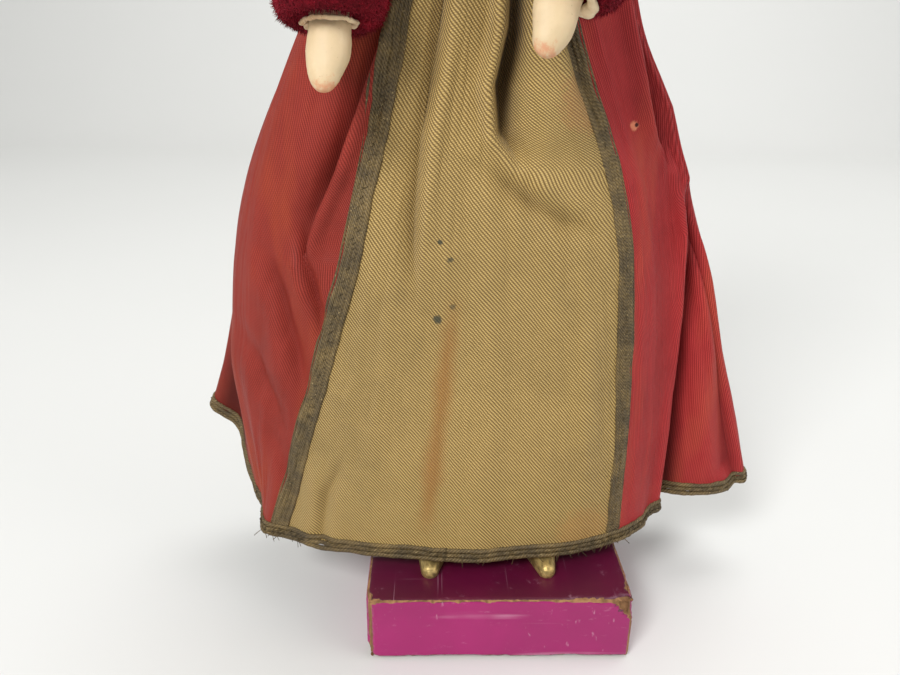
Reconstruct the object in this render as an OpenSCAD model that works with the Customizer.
// Rod puppet: a dressed figure on a painted block.
// Origin at the centre of the block's underside. +Z up. The figure faces -Y.

/* [Base block] */
// Width of the block
block_w = 67.2; // [60:0.1:90]
// Depth of the block
block_d = 54; // [50:0.5:80]
// Height of the block
block_h = 18.4; // [16:0.1:26]
// How far the legs stand behind the block's centre
stance_y = 4; // [2:0.5:6]

/* [Feet and legs] */
// Distance between the toe tips
toe_gap = 30.3; // [26:0.1:38]
// Distance between the legs
leg_gap = 22; // [20:0.5:24]
// Length of a shoe
shoe_len = 29; // [24:0.5:34]
// Height of a shoe at the ankle
shoe_h = 7.5; // [6.5:0.5:9]
// Radius of a leg dowel
leg_r = 3.2; // [2.5:0.1:4]
// Depth of the leg sockets in the block
leg_socket = 9; // [6:0.5:12]

/* [Trunk] */
// Height of the trunk's lower end
trunk_z = 180; // [170:1:200]
// Height of the trunk from its lower end to the neck
trunk_h = 74; // [70:1:90]
// Radius of the trunk at the hips
hip_r = 15; // [14.5:0.1:17]
// Radius of the trunk at the waist
waist_r = 12.5; // [11.5:0.5:15]
// Radius of the trunk at the chest
chest_r = 20; // [18:0.5:23]
// Thickness of the carved trunk from front to back
trunk_d = 20; // [18:0.5:24]

/* [Control rod and head] */
// Radius of the control rod
rod_r = 3; // [2:0.1:4]
// Depth of the rod's socket in the block
rod_socket = 14; // [12:0.5:15]
// Height of the head from chin to crown
head_h = 42; // [36:1:52]
// Width of the head
head_w = 31; // [28:1:38]
// Height of the neck
neck_h = 7; // [5:0.5:12]
// Height of the loose neck ring
ring_h = 3; // [2:0.5:5]

/* [Arms] */
// Distance from the trunk's centre line to a shoulder
shoulder_x = 34; // [32:0.5:38]
// How far the shoulders lie below the trunk's top
shoulder_drop = 10; // [8:0.5:14]
// Length of an upper arm between its two joints
upper_len = 47; // [42:0.5:60]
// Length of a forearm from the elbow to the wrist
fore_len = 43; // [38:0.5:56]
// Length of a hand from the wrist to the fingertips
hand_len = 24; // [20:0.5:30]
// Width of a hand
hand_w = 8.4; // [7:0.1:12]
// Radius of an arm
arm_r = 4.5; // [4:0.1:5]
// Radius of the joint pins
pin_r = 1.2; // [0.8:0.1:1.5]
// Radius of a sleeve at the elbow
sleeve_r = 7.8; // [7.4:0.1:9]
// Radius of a sleeve at the cuff
cuff_r = 10.3; // [9:0.1:12]

/* [Clothes] */
// Height of the skirt's gathered top above the trunk's lower end
waist_up = 11; // [8:0.5:14]
// Width of the skirt at the hem
hem_w = 141; // [120:1:170]
// Depth of the skirt at the hem
hem_d = 56; // [46:1:70]
// Thickness of the skirt's lined cloth
cloth = 1.2; // [0.8:0.1:1.6]
// Width of the braid along the panel's edges
braid_w = 4.8; // [4:0.1:8]
// Thickness of the braid
braid_t = 1.1; // [0.8:0.1:1.6]
// Height of the waist sash
sash_h = 8; // [5:0.5:12]
// Thickness of the velvet jacket
velvet = 1.6; // [1:0.1:2.4]

/* [Fits] */
// Radial clearance of a running fit
running = 0.06; // [0.03:0.01:0.1]
// Gap between pieces that move past each other
free_gap = 0.5; // [0.4:0.1:0.8]

/* [Hidden] */
$fn = 48;
tiny = 0.01;

axis_x = -3;
feet_x = -2.5;
heel_r = leg_r + 1.8;
ankle_r = leg_r + 1;
ball_r = 3.2;
ball_back = 9;
toe_r = 2.3;
trunk_top = trunk_z + trunk_h;
shoulder_z = trunk_top - shoulder_drop;
skirt_z = trunk_z + waist_up;
ring_top = trunk_top + ring_h;
chin_z = ring_top + neck_h - 2;
head_r = head_w / 2;
head_z = chin_z + head_h - head_r;
neck_r = rod_r + 3.4;
neck_hole_r = neck_r + 1;
neck_stub = 3;
nape = 4.6;
collar_r = 1.3;
rod_bore = rod_r + running;
rod_foot = block_h - rod_socket;
rod_top = head_z + 4;
crown_z = chin_z + head_h;
hair_t = 2.2;
hair_r = head_r + hair_t;
hair_y = 1;
bun_r = 0.5 * head_r;
band_t = 1;
band_h = 5;
band_low = 0.3 * head_r;
cap_t = 1.2;

// Resting pose of the arms: swing, raise, twist and elbow bend, in degrees
left_pose = [-1.5, -0.5, 0, -28];
right_pose = [-9.5, 7.5, -35, -26.5];
left_shoulder = [axis_x - shoulder_x, 0, shoulder_z];
right_shoulder = [axis_x + shoulder_x, 0, shoulder_z];
link_r = arm_r - 1.1;
link_bore = link_r + running;
link_in = 10;
tongue_w = 3.2;
slot_w = tongue_w + 0.3;
// How far the elbow's flats and slot reach past its round end, so that the arm can fold
fold_room = 2;
elbow_gap = 12;
sleeve_top = 11;
cuff_over = 10.5;
wrist_r = 2;
peg_len = 9;

// ---- The skirt's surface ----
// Stations run round the skirt from the front centre to the wearer's right, the back and the other side.
// Each has sideways and depth offsets from the centre line at five levels, and the height of its hem.
levels = [0, 0.2, 0.47, 0.74, 1];
stations = [
    [[0, -3, -6, -7, -11], [-12.2, -16, -19, -19, -16.5], 22.4],
    [[-9, -19.6, -29.4, -42.4, -56], [-11.6, -15.5, -16.5, -12.5, -6], 22.8],
    [[-17.5, -37, -55.5, -63, -60.5], [0, -5, -2, 2, 3], 27],
    [[-12.5, -31, -50, -62, -79], [10.5, 17, 21, 24, 29], 50],
    [[0, 0, -1, -1, -1], [12.2, 24, 32, 37, 39.5], 30],
    [[12.5, 27, 41, 53, 59], [10.5, 18, 25, 31, 35], 28],
    [[17.5, 29, 49, 64.5, 79], [0, 2, 6, 10, 13], 27.5],
    [[15, 26, 40, 48.5, 51.5], [-6.5, -5.5, -1, 2.5, 4], 26],
    [[8, 10.5, 26.5, 31.5, 33.5], [-11.3, -15, -16, -13.5, -9.5], 22.8]
];
turns = len(stations);
hem_w_0 = 141;
hem_d_0 = 56;
left_seam = 1;
left_back_seam = 3;
back_seam = 4;
right_back_seam = 5;
right_seam = 8;
rows = [for (i = [0:13]) pow(i / 13, 0.9) * 0.966];
hem_rows = [0.966, 0.983, 1];
sash_v = sash_h / (skirt_z - block_h);

function mod(a, b) = a - b * floor(a / b);
function curve(a, b, c, d, u) =
    0.5 * (2 * b + (c - a) * u + (2 * a - 5 * b + 4 * c - d) * u * u
           + (3 * b - a - 3 * c + d) * u * u * u);
function span(v) = v >= levels[3] ? 3 : v >= levels[2] ? 2 : v >= levels[1] ? 1 : 0;
function along(row, v) =
    let (i = span(v))
    let (u = (v - levels[i]) / (levels[i + 1] - levels[i]))
    let (before = i == 0 ? 2 * row[0] - row[1] : row[i - 1])
    let (after = i == 3 ? 2 * row[4] - row[3] : row[i + 2])
    curve(before, row[i], row[i + 1], after, u);
// The share of the driving hem size that reaches each level: none at the waist and all at the hem
function grow(v, now, was) = 1 + (now / was - 1) * v;
function station(k, v) =
    let (s = stations[mod(k, turns)])
    [axis_x + along(s[0], v) * grow(v, hem_w, hem_w_0),
     along(s[1], v) * grow(v, hem_d, hem_d_0),
     skirt_z + (s[2] - skirt_z) * v];
function skirt(t, v) =
    let (k = floor(t))
    curve(station(k - 1, v), station(k, v), station(k + 1, v), station(k + 2, v), t - k);
function outward(t, v) =
    let (d = skirt(t + 0.02, v) - skirt(t - 0.02, v))
    let (n = [-d[1], d[0], 0])
    n / norm(n);
function speed(t, v) = norm(skirt(t + 0.02, v) - skirt(t - 0.02, v)) / 0.04;
function skirt_off(t, v, off) = skirt(t, v) + outward(t, v) * off;

// An open patch of cloth over a grid of points, from an outer and an inner face
module patch(outer, inner) {
    n = len(outer) - 1;
    m = len(outer[0]) - 1;
    half = (n + 1) * (m + 1);
    function id(i, j) = i * (m + 1) + j;
    points = concat(
        [for (col = outer) for (p = col) p],
        [for (col = inner) for (p = col) p]
    );
    skin = [
        for (i = [0:n - 1]) for (j = [0:m - 1])
        each [
            [id(i, j), id(i, j + 1), id(i + 1, j + 1)],
            [id(i, j), id(i + 1, j + 1), id(i + 1, j)],
            [half + id(i, j), half + id(i + 1, j + 1), half + id(i, j + 1)],
            [half + id(i, j), half + id(i + 1, j), half + id(i + 1, j + 1)]
        ]
    ];
    sides = [
        for (j = [0:m - 1])
        each [
            [id(0, j + 1), id(0, j), half + id(0, j)],
            [id(0, j + 1), half + id(0, j), half + id(0, j + 1)],
            [id(n, j), id(n, j + 1), half + id(n, j + 1)],
            [id(n, j), half + id(n, j + 1), half + id(n, j)]
        ]
    ];
    ends = [
        for (i = [0:n - 1])
        each [
            [id(i, 0), id(i + 1, 0), half + id(i + 1, 0)],
            [id(i, 0), half + id(i + 1, 0), half + id(i, 0)],
            [id(i + 1, m), id(i, m), half + id(i, m)],
            [id(i + 1, m), half + id(i, m), half + id(i + 1, m)]
        ]
    ];
    polyhedron(points, concat(skin, sides, ends), convexity = 8);
}

// A closed band round the whole skirt
module band(v_rows, off_in, off_out) {
    step = 0.25;
    n = turns / step;
    m = len(v_rows) - 1;
    half = n * (m + 1);
    function id(i, j) = mod(i, n) * (m + 1) + j;
    points = concat(
        [for (i = [0:n - 1]) for (v = v_rows) skirt_off(i * step, v, off_out)],
        [for (i = [0:n - 1]) for (v = v_rows) skirt_off(i * step, v, off_in)]
    );
    skin = [
        for (i = [0:n - 1]) for (j = [0:m - 1])
        each [
            [id(i, j), id(i, j + 1), id(i + 1, j + 1)],
            [id(i, j), id(i + 1, j + 1), id(i + 1, j)],
            [half + id(i, j), half + id(i + 1, j + 1), half + id(i, j + 1)],
            [half + id(i, j), half + id(i + 1, j), half + id(i + 1, j + 1)]
        ]
    ];
    ends = [
        for (i = [0:n - 1])
        each [
            [id(i, 0), id(i + 1, 0), half + id(i + 1, 0)],
            [id(i, 0), half + id(i + 1, 0), half + id(i, 0)],
            [id(i + 1, m), id(i, m), half + id(i, m)],
            [id(i + 1, m), half + id(i, m), half + id(i + 1, m)]
        ]
    ];
    polyhedron(points, concat(skin, ends), convexity = 8);
}

module gore(t_from, t_to) {
    cols = [t_from:0.25:t_to];
    patch(
        [for (t = cols) [for (v = rows) skirt(t, v)]],
        [for (t = cols) [for (v = rows) skirt_off(t, v, -cloth)]]
    );
}

module edge_braid(seam) {
    top = sash_v + 0.006;
    v_rows = [for (i = [0:13]) top + (hem_rows[0] - 0.006 - top) * i / 13];
    side = [-1, 0, 1];
    gap = 0.25;
    patch(
        [for (k = side) [for (v = v_rows)
            let (t = seam + k * braid_w / 2 / speed(seam, v)) skirt_off(t, v, gap + braid_t)]],
        [for (k = side) [for (v = v_rows)
            let (t = seam + k * braid_w / 2 / speed(seam, v)) skirt_off(t, v, gap)]]
    );
}

// ---- Base, shoes and legs ----
module base_block() {
    color("mediumvioletred")
    difference() {
        translate([-block_w / 2, -block_d / 2, 0]) cube([block_w, block_d, block_h]);
        translate([axis_x, 0, rod_foot]) cylinder(r = rod_bore, h = rod_socket + 1);
        for (side = [-1, 1]) {
            translate([feet_x + side * leg_gap / 2, stance_y, block_h - leg_socket])
            cylinder(r = leg_r, h = leg_socket + 1);
        }
    }
}

module shoe(side) {
    ankle = [feet_x + side * leg_gap / 2, stance_y];
    toe = [feet_x + side * toe_gap / 2, stance_y + 6 - shoe_len];
    color("goldenrod")
    difference() {
        intersection() {
            hull() {
                translate([ankle[0], ankle[1] + 1, block_h]) cylinder(r = heel_r, h = 3, $fn = 32);
                translate([ankle[0], ankle[1], block_h + shoe_h - 4]) sphere(r = ankle_r, $fn = 32);
                translate([toe[0], toe[1] + ball_back, block_h + 1]) sphere(r = ball_r, $fn = 32);
                translate([toe[0], toe[1] + toe_r, block_h + 1.2]) sphere(r = toe_r, $fn = 32);
            }
            translate([-block_w, -block_d, block_h]) cube([2 * block_w, 2 * block_d, 2 * shoe_h]);
        }
        translate([ankle[0], ankle[1], block_h - 1]) cylinder(r = leg_r, h = 3 * shoe_h);
    }
}

module leg(side) {
    color("burlywood")
    translate([feet_x + side * leg_gap / 2, stance_y, block_h - leg_socket])
    cylinder(r = leg_r, h = trunk_z - block_h + leg_socket);
}

// ---- Trunk ----
// The half outline of the turned trunk, grown by a coat of the given thickness
module trunk_profile(coat) {
    polygon([
        [0, trunk_z],
        [hip_r + coat, trunk_z],
        [hip_r - 1 + coat, trunk_z + 6],
        [waist_r + coat, trunk_z + 14],
        [waist_r + coat, trunk_z + 24],
        [chest_r - 3 + coat, trunk_z + 44],
        [chest_r + coat, trunk_z + 58],
        [chest_r + coat, shoulder_z + 4],
        [neck_hole_r + nape + coat, trunk_top - neck_stub - 1 + coat],
        [neck_hole_r + coat, trunk_top - neck_stub + coat],
        [neck_hole_r, trunk_top - neck_stub + coat],
        [neck_hole_r, trunk_top],
        [0, trunk_top]
    ]);
}

module trunk_form(coat) {
    intersection() {
        translate([axis_x, 0, 0]) rotate_extrude() trunk_profile(coat);
        translate([axis_x - 3 * chest_r, -trunk_d / 2 - coat, trunk_z - 1])
        cube([6 * chest_r, trunk_d + 2 * coat, 2 * trunk_h]);
    }
}

module trunk() {
    color("burlywood")
    difference() {
        trunk_form(0);
        translate([axis_x, 0, trunk_z - 1]) cylinder(r = rod_bore, h = trunk_h + 2);
        for (side = [-1, 1]) {
            translate([axis_x + side * (chest_r - link_in), 0, shoulder_z])
            rotate([0, side * 90, 0])
            cylinder(r = link_bore, h = link_in + 1);
        }
    }
}

// ---- Skirt and trimmings ----
module front_panel() {
    color("darkkhaki") gore(right_seam - turns, left_seam);
}

module left_side_gore() {
    color("firebrick") gore(left_seam, left_back_seam);
}

module left_back_gore() {
    color("firebrick") gore(left_back_seam, back_seam);
}

module right_back_gore() {
    color("firebrick") gore(back_seam, right_back_seam);
}

module right_side_gore() {
    color("firebrick") gore(right_back_seam, right_seam);
}

module left_panel_braid() {
    color("darkolivegreen") edge_braid(left_seam);
}

module right_panel_braid() {
    color("darkolivegreen") edge_braid(right_seam);
}

module hem_braid() {
    color("darkolivegreen") band(hem_rows, -cloth, braid_t);
}

module waist_sash() {
    color("darkgoldenrod") band([0, sash_v], free_gap, free_gap + braid_t);
}

// ---- Jacket ----
module jacket(front) {
    low = skirt_z + 1;
    y_from = front ? -trunk_d : 0;
    color("darkred")
    difference() {
        intersection() {
            trunk_form(velvet);
            translate([axis_x - 2 * chest_r, y_from, low]) cube([4 * chest_r, trunk_d, trunk_h]);
        }
        trunk_form(0);
        translate([axis_x, 0, low]) cylinder(r = neck_hole_r, h = trunk_h);
        for (side = [-1, 1]) {
            translate([axis_x, 0, shoulder_z]) rotate([0, side * 90, 0])
            cylinder(r = link_r + 2.6, h = 2 * chest_r);
        }
    }
}

module jacket_front() {
    jacket(true);
}

module jacket_back() {
    jacket(false);
}

module jacket_braid() {
    color("darkgoldenrod")
    translate([axis_x - braid_w / 2, -trunk_d / 2 - velvet - braid_t, skirt_z + 2])
    cube([braid_w, braid_t, trunk_top - skirt_z - 14]);
}

module collar_braid() {
    color("darkgoldenrod")
    translate([axis_x, 0, trunk_top - neck_stub + velvet + collar_r])
    rotate_extrude()
    translate([neck_hole_r + collar_r + 0.1, 0])
    circle(r = collar_r, $fn = 24);
}

// ---- Head ----
module neck_ring() {
    color("burlywood")
    difference() {
        translate([axis_x, 0, trunk_top]) cylinder(r = neck_r, h = ring_h);
        translate([axis_x, 0, trunk_top - 1]) cylinder(r = rod_bore, h = ring_h + 2);
    }
}

module control_rod() {
    color("saddlebrown")
    translate([axis_x, 0, rod_foot])
    cylinder(r = rod_r, h = rod_top - rod_foot);
}

module head() {
    color("bisque")
    difference() {
        union() {
            translate([axis_x, 0, ring_top]) cylinder(r = neck_r - 0.6, h = neck_h + 6);
            translate([axis_x, 0, 0])
            rotate_extrude()
            polygon(concat(
                [[0, chin_z]],
                [for (a = [-80:10:80]) [
                    head_r * cos(a),
                    (a < 0 ? chin_z + head_h - head_r + (head_h - head_r) * sin(a)
                           : head_z + head_r * sin(a))
                ]],
                [[0, crown_z]]
            ));
        }
        translate([axis_x, 0, ring_top - 1]) cylinder(r = rod_r, h = rod_top - ring_top + 1);
    }
}

module hair() {
    color("black")
    difference() {
        translate([axis_x, hair_y, head_z]) sphere(r = hair_r);
        translate([axis_x, 0, head_z]) sphere(r = head_r + tiny);
        translate([axis_x, 0, chin_z]) cylinder(r = head_r + tiny, h = head_z - chin_z);
        translate([axis_x - 2 * head_r, -4 * head_r - 4, chin_z])
        cube([4 * head_r, 4 * head_r, 2 * head_h]);
        translate([axis_x - 2 * head_r, -2 * head_r, chin_z])
        cube([4 * head_r, 4 * head_r, head_z - head_r * 0.6 - chin_z]);
    }
}

module hair_bun() {
    bun_z = head_z + band_low - bun_r - free_gap;
    color("black")
    translate([axis_x, hair_y + hair_r + bun_r, bun_z])
    sphere(r = bun_r);
}

module head_band() {
    color("goldenrod")
    translate([axis_x, hair_y, head_z + band_low])
    difference() {
        cylinder(r = hair_r + band_t, h = band_h);
        translate([0, 0, -1]) cylinder(r = hair_r, h = band_h + 2);
    }
}

module cap() {
    cap_z = head_z + band_low + band_h;
    color("darkred")
    difference() {
        intersection() {
            translate([axis_x, hair_y, head_z]) sphere(r = hair_r + cap_t + tiny);
            translate([axis_x - 2 * head_r, -2 * head_r, cap_z]) cube([4 * head_r, 4 * head_r, 2 * head_r]);
        }
        translate([axis_x, hair_y, head_z]) sphere(r = hair_r + tiny);
    }
}

// ---- Arms ----
module at_link(shoulder, pose) {
    translate(shoulder) rotate([pose[0], 0, 0]) children();
}

module at_upper(shoulder, pose) {
    at_link(shoulder, pose) rotate([0, pose[1], 0]) rotate([0, 0, pose[2]]) children();
}

module at_fore(shoulder, pose) {
    at_upper(shoulder, pose) translate([0, 0, -upper_len]) rotate([pose[3], 0, 0]) children();
}

module at_hand(shoulder, pose) {
    at_fore(shoulder, pose) translate([0, 0, -fore_len]) children();
}

// The link's peg turns in the trunk, and its eye carries the upper arm
module shoulder_link(shoulder, pose, side) {
    reach = shoulder_x - chest_r;
    color("burlywood")
    at_link(shoulder, pose)
    difference() {
        union() {
            translate([-side * (reach + link_in - 1), 0, 0]) rotate([0, side * 90, 0])
            cylinder(r = link_r, h = reach + link_in - 1);
            rotate([90, 0, 0]) translate([0, 0, -tongue_w / 2]) cylinder(r = link_r, h = tongue_w);
        }
        for (y = [-1, 1]) {
            translate([-6, y > 0 ? tongue_w / 2 : -tongue_w / 2 - 10, -10]) cube([12, 10, 20]);
        }
        rotate([90, 0, 0]) translate([0, 0, -10]) cylinder(r = pin_r + running, h = 20);
    }
}

// The fork at an upper arm's top lies across the shoulder link's eye
module shoulder_pin(shoulder, pose) {
    color("darkgoldenrod")
    at_link(shoulder, pose) rotate([90, 0, 0])
    translate([0, 0, -arm_r + 0.3])
    cylinder(r = pin_r, h = 2 * arm_r - 0.6);
}

module upper_arm(shoulder, pose) {
    color("burlywood")
    difference() {
        union() {
            at_upper(shoulder, pose) translate([0, 0, -upper_len]) cylinder(r = arm_r, h = upper_len);
            at_link(shoulder, pose) rotate([90, 0, 0])
            translate([0, 0, -arm_r]) cylinder(r = arm_r, h = 2 * arm_r);
            at_upper(shoulder, pose) translate([-tongue_w / 2, 0, -upper_len]) rotate([0, 90, 0])
            cylinder(r = arm_r, h = tongue_w);
        }
        // Slot for the link's eye
        at_link(shoulder, pose)
        translate([-10, -slot_w / 2, -link_r - free_gap]) cube([20, slot_w, 20]);
        at_link(shoulder, pose) rotate([90, 0, 0]) translate([0, 0, -10]) cylinder(r = pin_r, h = 20);
        // Flats of the elbow tongue
        for (x = [-1, 1]) {
            at_upper(shoulder, pose)
            translate([x > 0 ? tongue_w / 2 : -tongue_w / 2 - 10, -10, -upper_len - 10])
            cube([10, 20, 10 + arm_r + fold_room]);
        }
        at_upper(shoulder, pose) translate([-10, 0, -upper_len]) rotate([0, 90, 0])
        cylinder(r = pin_r + running, h = 20);
    }
}

module elbow_pin(shoulder, pose) {
    color("darkgoldenrod")
    at_fore(shoulder, pose) translate([-arm_r + 0.3, 0, 0]) rotate([0, 90, 0])
    cylinder(r = pin_r, h = 2 * arm_r - 0.6);
}

module forearm(shoulder, pose) {
    color("burlywood")
    at_fore(shoulder, pose)
    difference() {
        union() {
            translate([0, 0, -fore_len]) cylinder(r1 = arm_r - 0.5, r2 = arm_r, h = fore_len);
            translate([-arm_r, 0, 0]) rotate([0, 90, 0]) cylinder(r = arm_r, h = 2 * arm_r);
        }
        translate([-slot_w / 2, -10, -arm_r - fold_room]) cube([slot_w, 20, 20]);
        translate([-10, 0, 0]) rotate([0, 90, 0]) cylinder(r = pin_r, h = 20);
        translate([0, 0, -fore_len - 1]) cylinder(r = wrist_r + running, h = peg_len + 1.5);
    }
}

module hand(shoulder, pose) {
    color("ivory")
    at_hand(shoulder, pose) {
        union() {
            translate([0, 0, -4]) cylinder(r = wrist_r, h = peg_len + 4);
            hull() {
                translate([0, 0, -3.4]) sphere(r = 3.3, $fn = 28);
                for (x = [-1, 1]) {
                    translate([x * (hand_w / 2 - 2.6), 0, -hand_len * 0.55]) sphere(r = 2.6, $fn = 28);
                }
                translate([0.6, 0, 2.4 - hand_len]) sphere(r = 2.4, $fn = 28);
            }
        }
    }
}

// A sleeve is a tube round an arm, open at both ends
module sleeve(z_low, z_high, r_low, r_high, wall) {
    difference() {
        translate([0, 0, z_low]) cylinder(r1 = r_low, r2 = r_high, h = z_high - z_low);
        translate([0, 0, z_low - tiny])
        cylinder(r1 = r_low - wall, r2 = r_high - wall, h = z_high - z_low + 2 * tiny);
    }
}

module upper_sleeve(shoulder, pose) {
    color("darkred")
    at_upper(shoulder, pose)
    sleeve(-upper_len + elbow_gap, -sleeve_top, sleeve_r, sleeve_r + 0.8, velvet);
}

module lower_sleeve(shoulder, pose) {
    color("darkred")
    at_fore(shoulder, pose)
    sleeve(-fore_len - cuff_over, -elbow_gap, cuff_r, sleeve_r, velvet);
}

module cuff_lining(shoulder, pose) {
    inner = cuff_r - velvet;
    color("wheat")
    at_fore(shoulder, pose)
    sleeve(-fore_len - cuff_over - 1, -fore_len - cuff_over + 4, inner - 0.1, inner - 0.35, 0.9);
}

base_block();
shoe(-1);  // left_shoe
shoe(1);  // right_shoe
leg(-1);  // left_leg
leg(1);  // right_leg
trunk();
front_panel();
left_side_gore();
left_back_gore();
right_back_gore();
right_side_gore();
left_panel_braid();
right_panel_braid();
hem_braid();
waist_sash();
jacket_front();
jacket_back();
jacket_braid();
collar_braid();
neck_ring();
control_rod();
head();
hair();
hair_bun();
head_band();
cap();
shoulder_link(left_shoulder, left_pose, -1);  // left_shoulder_link
shoulder_pin(left_shoulder, left_pose);  // left_shoulder_pin
upper_arm(left_shoulder, left_pose);  // left_upper_arm
elbow_pin(left_shoulder, left_pose);  // left_elbow_pin
forearm(left_shoulder, left_pose);  // left_forearm
hand(left_shoulder, left_pose);  // left_hand
upper_sleeve(left_shoulder, left_pose);  // left_upper_sleeve
lower_sleeve(left_shoulder, left_pose);  // left_lower_sleeve
cuff_lining(left_shoulder, left_pose);  // left_cuff_lining
shoulder_link(right_shoulder, right_pose, 1);  // right_shoulder_link
shoulder_pin(right_shoulder, right_pose);  // right_shoulder_pin
upper_arm(right_shoulder, right_pose);  // right_upper_arm
elbow_pin(right_shoulder, right_pose);  // right_elbow_pin
forearm(right_shoulder, right_pose);  // right_forearm
hand(right_shoulder, right_pose);  // right_hand
upper_sleeve(right_shoulder, right_pose);  // right_upper_sleeve
lower_sleeve(right_shoulder, right_pose);  // right_lower_sleeve
cuff_lining(right_shoulder, right_pose);  // right_cuff_lining
